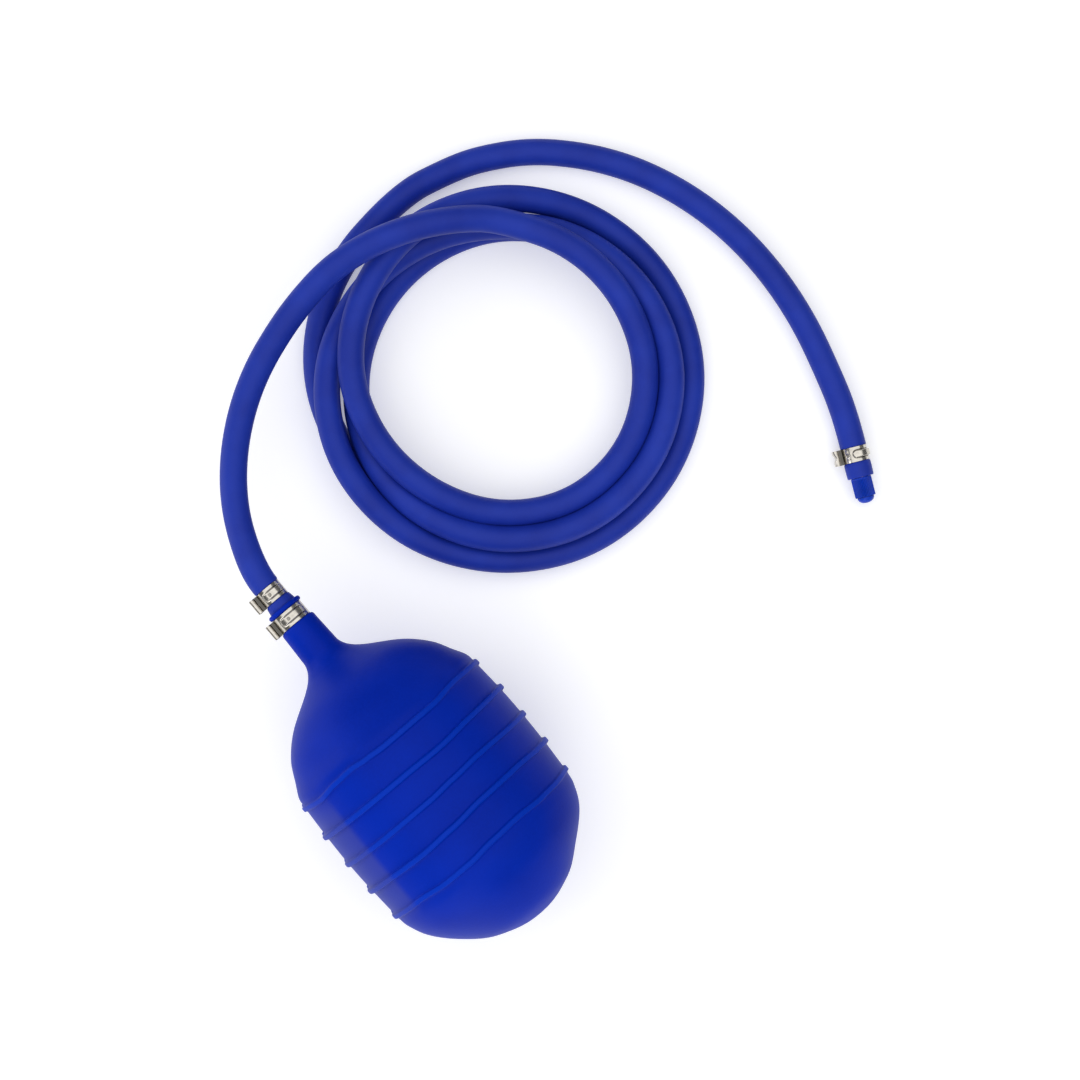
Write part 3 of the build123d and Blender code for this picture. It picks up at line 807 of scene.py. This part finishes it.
def make_valve_end(sizes, material):
    """The hose's clamped end with the valve's hole in its face."""
    squeezed = sizes.squeezed_radius
    bore = sizes.bore_radius
    valve_profile = [
        (bore, VALVE_SEAM * MM),
        (sizes.radius, VALVE_SEAM * MM),
        (5.85 * MM, -14.2 * MM),
        (squeezed, -14.0 * MM),
        (squeezed, -7.2 * MM),
        (5.8 * MM, -7.0 * MM),
        (6.05 * MM, -6.5 * MM),
        (6.1 * MM, -5.0 * MM),
        (6.05 * MM, -2.0 * MM),
        (6.0 * MM, -0.3 * MM),
        (5.9 * MM, -0.08 * MM),
        (5.7 * MM, 0.0),
        (3.75 * MM, 0.0),
        (3.55 * MM, -0.25 * MM),
        (bore, -1.0 * MM),
    ]
    bm = turned(valve_profile, VALVE_POINT, VALVE_ALONG, VALVE_ACROSS, END_STEPS, closed=True)
    return finished(bm, "hose_valve_end", material, "plug", "hose_tail")


# ---- ear clamps
BAND_STEPS = 180
BAND_LINES = 36
EAR_LINES = 16
EDGE_BEAD = 0.05 * MM
EDGE_BEAD_WIDTH = 0.09        # share of the strip's width
# the tongue pressed into the band, in mm
GROOVE_DEPTH = 0.3
GROOVE_HALF_WIDTH = 0.2
TONGUE_HALF_WIDTH = 1.75
TONGUE_ROOT_LIFT = 0.12
DIMPLE_DEPTH = 0.2
DIMPLE_HALF_WIDTH = 0.85
EDGE_SOFTNESS = 0.3
LEG_SHADOW = 2.1 * MM         # the ear's legs and the band between them lie in its shade
CLAMP_SHARP_ANGLE = math.radians(40)
# where each band starts, along the bladder or out of the hose's valve end
NECK_CLAMP_Y = 71.6 * MM
HOSE_CLAMP_Y = 84.7 * MM
VALVE_CLAMP_PLACE = -14.1 * MM
VALVE_PINCH = 0.75 * MM       # depth of the pinch in the valve clamp's ear


def band_profile(inner_radius, sizes):
    """Closed section of the band: flat inside, finely divided outside, with rolled edges."""
    outer_radius = inner_radius + sizes.thickness
    corner = 0.16 * MM
    outside = []
    for line in range(BAND_LINES + 1):
        share = line / BAND_LINES
        beads = [math.exp(-((away / EDGE_BEAD_WIDTH) ** 2)) for away in (share, 1 - share)]
        place = mix(corner, sizes.width - corner, share)
        outside.append((outer_radius + EDGE_BEAD * sum(beads), place))
    return [
        (inner_radius, corner / 2),
        (inner_radius + corner / 2, 0.0),
        (outer_radius - corner, 0.0),
        *outside,
        (outer_radius - corner, sizes.width),
        (inner_radius + corner / 2, sizes.width),
        (inner_radius, sizes.width - corner / 2),
    ]


def tongue_relief(span, across, half_length, lift, dimple):
    """Height in mm of the pressed tongue and share of painted shade, so far along and across its
    middle.
    """
    beyond = max(abs(span) - half_length, 0.0)
    edge = math.hypot(beyond, across) - TONGUE_HALF_WIDTH
    groove = GROOVE_DEPTH * math.exp(-((edge / GROOVE_HALF_WIDTH) ** 2))
    height = mix(TONGUE_ROOT_LIFT, lift, ease((span / half_length + 1) / 2))
    rise = height * (1 - ease((edge + 0.5) / 0.5))
    dent_along = ease((DIMPLE_HALF_WIDTH - abs(span - dimple)) / EDGE_SOFTNESS)
    dent_across = ease((DIMPLE_HALF_WIDTH - abs(across)) / EDGE_SOFTNESS)
    dent = dent_along * dent_across
    return rise - groove - DIMPLE_DEPTH * dent, max(0.85 * groove / GROOVE_DEPTH, 0.6 * dent)


def ear_outline(base_radius, sizes):
    """Middle line of the ear's strip, (outward, across), from one foot round its head to the other."""
    leg = sizes.leg_height
    half_gap = 0.7 * MM + sizes.thickness / 2
    bend = (sizes.head_height - sizes.thickness) / 2
    centre = base_radius + leg + sizes.head_height / 2
    reach = sizes.head_width / 2 - sizes.head_height / 2
    side = [
        (base_radius - 0.3 * MM, half_gap + 0.25 * MM),
        (base_radius + 0.15 * MM, half_gap),
        (base_radius + leg * 0.8, half_gap),
        (centre - bend, half_gap + 0.25 * MM),
    ]
    for step in range(9):
        turn = math.pi * (step / 8 - 0.5)
        side.append((centre + bend * math.sin(turn), reach + bend * math.cos(turn)))
    side.append((centre + bend, reach / 3))
    return side + [(outward, -across) for outward, across in reversed(side)]


def strip_section(line, thickness):
    """Closed outline of a strip of even thickness that follows a line."""
    line = [Vector(point) for point in line]
    first, second = [], []
    for number, point in enumerate(line):
        before = line[max(number - 1, 0)]
        after = line[min(number + 1, len(line) - 1)]
        direction = (after - before).normalized()
        side = Vector((-direction.y, direction.x)) * thickness / 2
        first.append(point + side)
        second.append(point - side)
    return first + second[::-1]


def press_tongue(bm, painted_shade, axis, outer_radius, window, lift, dimple, width):
    """Presses the tongue into the band, over a window in degrees from the ear, and paints shade into
    its grooves and dimple.
    """
    origin, along, outward = axis
    middle = math.radians(sum(window) / 2)
    half_length = math.radians(window[1] - window[0]) / 2 * outer_radius / MM - TONGUE_HALF_WIDTH
    for vert in bm.verts:
        across, flat = split(vert.co, origin, along)
        if flat.length < outer_radius - 0.05 * MM:
            continue
        turn = math.atan2(flat.dot(UP), flat.dot(outward)) - middle
        turn = (turn + math.pi) % math.tau - math.pi
        span, off_middle = turn * outer_radius / MM, (across - width / 2) / MM
        relief, vert[painted_shade] = tongue_relief(span, off_middle, half_length, lift, dimple)
        vert.co += flat.normalized() * relief * MM


def fold_ear(bm, axis, outer_radius, sizes):
    """Adds the ear: its strip's section, drawn out over the band's width."""
    origin, along, outward = axis
    side = along.cross(outward)
    section = strip_section(ear_outline(outer_radius, sizes), sizes.thickness)
    verts = [bm.verts.new(origin + outward * point.x + side * point.y) for point in section]
    edge_faces = [bm.faces.new(verts)]
    for line in range(EAR_LINES):
        grown = bmesh.ops.extrude_face_region(bm, geom=edge_faces, use_keep_orig=line == 0)
        edge_faces = [part for part in grown["geom"] if isinstance(part, bmesh.types.BMFace)]
        moved = [part for part in grown["geom"] if isinstance(part, bmesh.types.BMVert)]
        bmesh.ops.translate(bm, verts=moved, vec=along * sizes.width / EAR_LINES)


def crimp_ear(bm, painted_shade, axis, outer_radius, pinch, sizes):
    """Pinches the ear's head in its middle, and marks the shade between its legs."""
    origin, along, outward = axis
    side = along.cross(outward)
    head_foot = outer_radius + sizes.leg_height
    pinch_width = 1.3 * MM
    for vert in bm.verts:
        offset = vert.co - origin
        reach = offset.dot(outward)
        beside = abs(offset.dot(side))
        if reach < 0 or beside > sizes.head_width:
            continue
        between_legs = ease((LEG_SHADOW - beside) / (0.5 * MM))
        under_head = ease((head_foot + 0.3 * MM - reach) / (0.3 * MM))
        vert[painted_shade] = max(vert[painted_shade], 0.92 * between_legs * under_head)
        if reach < head_foot:
            continue
        across = (offset.dot(along) - sizes.width / 2) / pinch_width
        share = ease((reach - head_foot) / sizes.head_height)
        vert.co -= outward * pinch * share * math.exp(-(across**2))


def make_clamp(label, axis, inner_radius, window, lift, dimple, pinch, sizes, material):
    """One crimped ear clamp. axis is its band's start, the way along it and the way to its ear."""
    outer_radius = inner_radius + sizes.thickness
    bm = turned(band_profile(inner_radius, sizes), *axis, BAND_STEPS, closed=True)
    # painted shade, per vertex, in the tongue's grooves and dimple and between the ear's legs
    painted_shade = bm.verts.layers.float.new("painted_shade")
    press_tongue(bm, painted_shade, axis, outer_radius, window, lift, dimple, sizes.width)
    fold_ear(bm, axis, outer_radius, sizes)
    crimp_ear(bm, painted_shade, axis, outer_radius, pinch, sizes)
    strip = label + "_strip"
    clamp = finished(bm, strip, material, "plug", label, CLAMP_SHARP_ANGLE)
    add_strip_uv(clamp, *axis)
    return clamp


def add_strip_uv(clamp, origin, along, outward):
    """A map whose second direction runs across the strip, for its rolling lines."""
    mesh = clamp.data
    layer = mesh.uv_layers.new(name="strip")
    for loop in mesh.loops:
        offset = mesh.vertices[loop.vertex_index].co - origin
        turn = math.atan2(offset.dot(UP), offset.dot(outward)) / math.tau
        layer.data[loop.index].uv = (turn * 0.002, offset.dot(along))


# ---- valve
STEM_NOSE = 7.6 * MM          # the stem's places count outwards from the hose's end
STEM_SHOULDER = 0.8 * MM
STEM_TAIL = -17.0 * MM
STEM_RADIUS = 3.5 * MM
CORE_BORE = 2.65 * MM
AIR_BORE = 2.0 * MM
THREAD_DEPTH = 0.45 * MM
THREAD_RINGS = 84
BARBS = 4
BARB_PITCH = 3.2 * MM
STEM_SHARP_ANGLE = math.radians(30)
CAP_BORE = 3.92 * MM
DOME_RADIUS = 3.8 * MM
DOME_HEIGHT = 2.62 * MM
STEP_RADIUS = 3.7 * MM        # bottom of the groove between the cap's skirt and its dome


def make_stem(sizes, material):
    """The valve's stem: barbed tail, helical thread and bore for the core."""
    root = sizes.thread_radius - THREAD_DEPTH
    thread_start, thread_end = STEM_SHOULDER + 0.25 * MM, STEM_NOSE - 0.3 * MM
    thread = []
    for ring in range(THREAD_RINGS + 1):
        thread.append((root + 0.02 * MM, mix(thread_start, thread_end, ring / THREAD_RINGS)))
    barbs = []
    for number in range(BARBS, 0, -1):
        foot = STEM_TAIL + number * BARB_PITCH
        barbs.append((STEM_RADIUS, foot))
        barbs.append((STEM_RADIUS + 0.3 * MM, foot))
        barbs.append((STEM_RADIUS, foot - 2.4 * MM))
    profile = [
        (CORE_BORE, STEM_NOSE),
        (root - 0.25 * MM, STEM_NOSE),
        *reversed(thread),
        (sizes.thread_radius - 0.1 * MM, STEM_SHOULDER + 0.2 * MM),
        (sizes.thread_radius - 0.1 * MM, STEM_SHOULDER),
        (STEM_RADIUS, STEM_SHOULDER),
        *barbs,
        (STEM_RADIUS, STEM_TAIL),
        (AIR_BORE, STEM_TAIL),
        (AIR_BORE, 1.2 * MM),
        (CORE_BORE, 2.2 * MM),
    ]
    bm = turned(profile, VALVE_POINT, VALVE_ALONG, VALVE_ACROSS, 96, closed=True)
    for vert in bm.verts:
        place, flat = split(vert.co, VALVE_POINT, VALVE_ALONG)
        threaded = thread_start - 0.01 * MM <= place <= thread_end + 0.01 * MM
        if not threaded or flat.length < root - 0.1 * MM:
            continue
        turn = math.atan2(flat.dot(UP), flat.dot(VALVE_ACROSS)) / math.tau
        phase = (place / sizes.thread_pitch + turn) % 1.0
        ridge = 1 - abs(2 * phase - 1)
        height = min(ridge * 1.25, 1.0) * ease((STEM_NOSE - 0.2 * MM - place) / (0.5 * MM))
        vert.co += flat.normalized() * height * (sizes.thread_radius - root)
    turned_name = "valve_stem_turned"
    return finished(bm, turned_name, material, "plug", "valve_stem", STEM_SHARP_ANGLE)


def make_cap(sizes, material):
    """The dust cap: ribbed skirt with a plain rim, small step and domed end, hollow inside."""
    rim, end, inside = 0.06 * MM, 9.1 * MM, 8.4 * MM
    radius = sizes.cap_radius
    dome = []
    for step in range(13):
        turn = math.radians(90 * step / 12)
        height = end + 0.25 * MM + DOME_HEIGHT * math.sin(turn)
        dome.append((DOME_RADIUS * math.cos(turn) ** 0.9, height))
    dome[-1] = (0.0, dome[-1][1])
    skirt = [(radius, mix(rim + 0.3 * MM, end - 0.35 * MM, ring / 22)) for ring in range(23)]
    profile = [
        (0.0, inside),
        (CAP_BORE, inside),
        (CAP_BORE, rim + 0.3 * MM),
        (CAP_BORE + 0.18 * MM, rim),
        (radius - 0.2 * MM, rim),
        (radius - 0.05 * MM, rim + 0.1 * MM),
        *skirt,
        (radius - 0.12 * MM, end - 0.12 * MM),
        (radius - 0.35 * MM, end),
        (DOME_RADIUS + 0.25 * MM, end),
        (STEP_RADIUS, end + 0.03 * MM),
        (STEP_RADIUS, end + 0.15 * MM),
        *dome,
    ]
    steps = sizes.cap_ribs * 8
    bm = turned(profile, VALVE_POINT, VALVE_ALONG, VALVE_ACROSS, steps)
    # painted shade in the groove round the dome and in the grooves of the grip
    painted_shade = bm.verts.layers.float.new("painted_shade")
    for vert in bm.verts:
        place, flat = split(vert.co, VALVE_POINT, VALVE_ALONG)
        if flat.length < DOME_RADIUS + 0.3 * MM and end - 0.01 * MM < place < end + 0.2 * MM:
            vert[painted_shade] = 1.0
        if flat.length < radius - 0.15 * MM:
            continue
        turn = math.atan2(flat.dot(UP), flat.dot(VALVE_ACROSS))
        groove = 0.5 + 0.5 * math.cos(turn * sizes.cap_ribs)
        reach = ease((place - rim - 0.55 * MM) / (0.35 * MM))
        vert[painted_shade] = 0.5 * groove**2 * reach
        vert.co -= flat.normalized() * sizes.cap_rib_depth * groove**0.7 * reach
    return finished(bm, "valve_cap_ribbed", material, "cap", "valve_cap")


# ---- operators
STAGE_MIDDLE = Vector((0.1, 0.03, 0.0))
FLOOR_HALF_SIZE = 2.5
FLOOR_DROP = 0.0002           # the floor lies so little under the plug
AIR_COLOUR = (0.93, 0.96, 1.0, 1)
AIR_STRENGTH = 0.15
# (name, place, size, watts)
SOFTBOXES = (
    ("overhead_softbox", (0.1, 0.03, 1.6), 3.2, 38.0),
    ("left_softbox", (-0.85, 0.93, 0.4), 0.7, 4.5),
    ("near_softbox", (-0.75, -0.92, 0.4), 0.7, 4.5),
)
CAMERA_PLACE = (0.1037, 0.03135, 1.0)
CAMERA_TURN = math.radians(-40.1)
CAMERA_LENS = 73.1
CAMERA_SENSOR = 36


def hang(name, settings, place):
    """An object for a lamp or a camera, hung at its place."""
    holder = bpy.data.objects.new(name, settings)
    holder.location = place
    bpy.context.scene.collection.objects.link(holder)
    return holder


class PlugOperator:
    """What the plug's operators share"""

    bl_options = {"REGISTER", "UNDO"}


class TESTPLUG_OT_stage(PlugOperator, bpy.types.Operator):
    """Lay the floor, hang the lights and set the camera over the plug"""

    bl_idname = "testplug.stage"
    bl_label = "Stage"

    def execute(self, context):
        scene = context.scene
        bm = bmesh.new()
        bmesh.ops.create_grid(bm, x_segments=4, y_segments=4, size=FLOOR_HALF_SIZE)
        mesh = bpy.data.meshes.new("studio_floor")
        bm.to_mesh(mesh)
        bm.free()
        mesh.materials.append(floor_paint(scene.plug_colours.floor))
        hang("studio_floor", mesh, STAGE_MIDDLE - UP * FLOOR_DROP)

        world = bpy.data.worlds.new("studio_air")
        world.use_nodes = True
        air = world.node_tree.nodes["Background"].inputs
        air["Color"].default_value = AIR_COLOUR
        air["Strength"].default_value = AIR_STRENGTH
        scene.world = world
        scene.view_settings.view_transform = "Standard"

        for name, place, size, power in SOFTBOXES:
            lamp = bpy.data.lights.new(name, "AREA")
            lamp.shape = "SQUARE"
            lamp.size = size
            lamp.energy = power
            towards = STAGE_MIDDLE - Vector(place)
            hang(name, lamp, place).rotation_euler = towards.to_track_quat("-Z", "Y").to_euler()

        lens = bpy.data.cameras.new("plug_camera")
        lens.lens = CAMERA_LENS
        lens.sensor_width = CAMERA_SENSOR
        lens.dof.use_dof = False
        camera = hang("plug_camera", lens, CAMERA_PLACE)
        camera.rotation_euler = (0, 0, CAMERA_TURN)
        scene.camera = camera
        return {"FINISHED"}


class TESTPLUG_OT_clamps(PlugOperator, bpy.types.Operator):
    """Crimp the three ear clamps on the neck and on both ends of the hose"""

    bl_idname = "testplug.clamps"
    bl_label = "Ear clamps"

    def execute(self, context):
        scene = context.scene
        steel = clamp_steel(scene.plug_colours.steel)
        sizes = scene.plug_clamps
        squeezed = scene.plug_hose.squeezed_radius
        neck = (BLADDER_AXIS + LENGTHWISE * NECK_CLAMP_Y, LENGTHWISE, LEFTWARD)
        end = (BLADDER_AXIS + LENGTHWISE * HOSE_CLAMP_Y, LENGTHWISE, LEFTWARD)
        valve = (on_valve(VALVE_CLAMP_PLACE), VALVE_ALONG, VALVE_ACROSS)
        make_clamp("neck_clamp", neck, NECK_SQUEEZED, (50, 158), 0.35, -2.6, 0, sizes, steel)
        make_clamp("hose_clamp", end, squeezed, (50, 158), 0.35, -2.0, 0, sizes, steel)
        make_clamp("valve_clamp", valve, squeezed, (72, 196), 0.9, -9.0, VALVE_PINCH, sizes, steel)
        return {"FINISHED"}


class TESTPLUG_OT_bladder(PlugOperator, bpy.types.Operator):
    """Mould the ribbed rubber bladder with its neck"""

    bl_idname = "testplug.bladder"
    bl_label = "Bladder"

    def execute(self, context):
        scene = context.scene
        make_bladder(scene.plug_bladder, bladder_rubber(scene.plug_colours.bladder))
        return {"FINISHED"}


class TESTPLUG_OT_valve(PlugOperator, bpy.types.Operator):
    """Turn the valve's stem and finish its core, connector and seals"""

    bl_idname = "testplug.valve"
    bl_label = "Valve"

    def execute(self, context):
        scene = context.scene
        colours = scene.plug_colours
        brass = turned_brass(colours.brass)
        seal = black_rubber(colours.seal)
        steel = clamp_steel(colours.steel)
        make_stem(scene.plug_valve, brass)
        finishes = {
            brass: "hose_connector core_plug core_barrel core_pin core_washer core_cup",
            seal: "core_gasket core_seal cap_liner",
            steel: "core_spring",
        }
        for material, labels in finishes.items():
            for label in labels.split():
                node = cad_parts[label]
                node.data.materials.clear()
                node.data.materials.append(material)
        return {"FINISHED"}


class TESTPLUG_OT_cap(PlugOperator, bpy.types.Operator):
    """Mould the ribbed dust cap"""

    bl_idname = "testplug.cap"
    bl_label = "Dust cap"

    def execute(self, context):
        scene = context.scene
        make_cap(scene.plug_valve, cap_plastic(scene.plug_colours.cap))
        return {"FINISHED"}


class TESTPLUG_OT_hose(PlugOperator, bpy.types.Operator):
    """Lay the filling hose in its loose coil"""

    bl_idname = "testplug.hose"
    bl_label = "Hose"

    def execute(self, context):
        scene = context.scene
        sizes = scene.plug_hose
        rubber = hose_rubber(scene.plug_colours.hose)
        hose = make_free_hose(sizes, rubber)
        make_neck_end(sizes, rubber)
        valve_end = make_valve_end(sizes, rubber)
        return {"FINISHED"}


class TESTPLUG_PT_plug(bpy.types.Panel):
    """Sizes, colours and steps of the pipe test plug"""

    bl_idname = "TESTPLUG_PT_plug"
    bl_label = "Pipe test plug"
    bl_space_type = "VIEW_3D"
    bl_region_type = "UI"
    bl_category = "Test plug"

    def draw(self, context):
        layout = self.layout
        for group in PROPERTY_GROUPS:
            box = layout.box()
            box.label(text=group.removeprefix("plug_").capitalize())
            settings = getattr(context.scene, group)
            for name in type(settings).__annotations__:
                box.prop(settings, name)
        for operator in STEPS:
            layout.operator(operator.bl_idname)


PROPERTY_GROUPS = {
    "plug_bladder": PlugBladderSizes,
    "plug_hose": PlugHoseSizes,
    "plug_clamps": PlugClampSizes,
    "plug_valve": PlugValveSizes,
    "plug_colours": PlugColours,
}
STEPS = (
    TESTPLUG_OT_stage,
    TESTPLUG_OT_bladder,
    TESTPLUG_OT_clamps,
    TESTPLUG_OT_valve,
    TESTPLUG_OT_cap,
    TESTPLUG_OT_hose,
)


def register():
    """Registers the groups, operators and panel."""
    for name, group in PROPERTY_GROUPS.items():
        bpy.utils.register_class(group)
        setattr(bpy.types.Scene, name, PointerProperty(type=group))
    for step in STEPS:
        bpy.utils.register_class(step)
    bpy.utils.register_class(TESTPLUG_PT_plug)


def unregister():
    """Takes the groups, operators and panel out again."""
    bpy.utils.unregister_class(TESTPLUG_PT_plug)
    for step in reversed(STEPS):
        bpy.utils.unregister_class(step)
    for name, group in PROPERTY_GROUPS.items():
        delattr(bpy.types.Scene, name)
        bpy.utils.unregister_class(group)


def main():
    """Builds the stage and the plug."""
    register()
    bpy.ops.testplug.stage()
    bpy.ops.testplug.bladder()
    bpy.ops.testplug.clamps()
    bpy.ops.testplug.valve()
    bpy.ops.testplug.cap()
    bpy.ops.testplug.hose()


if __name__ == "__main__":
    main()
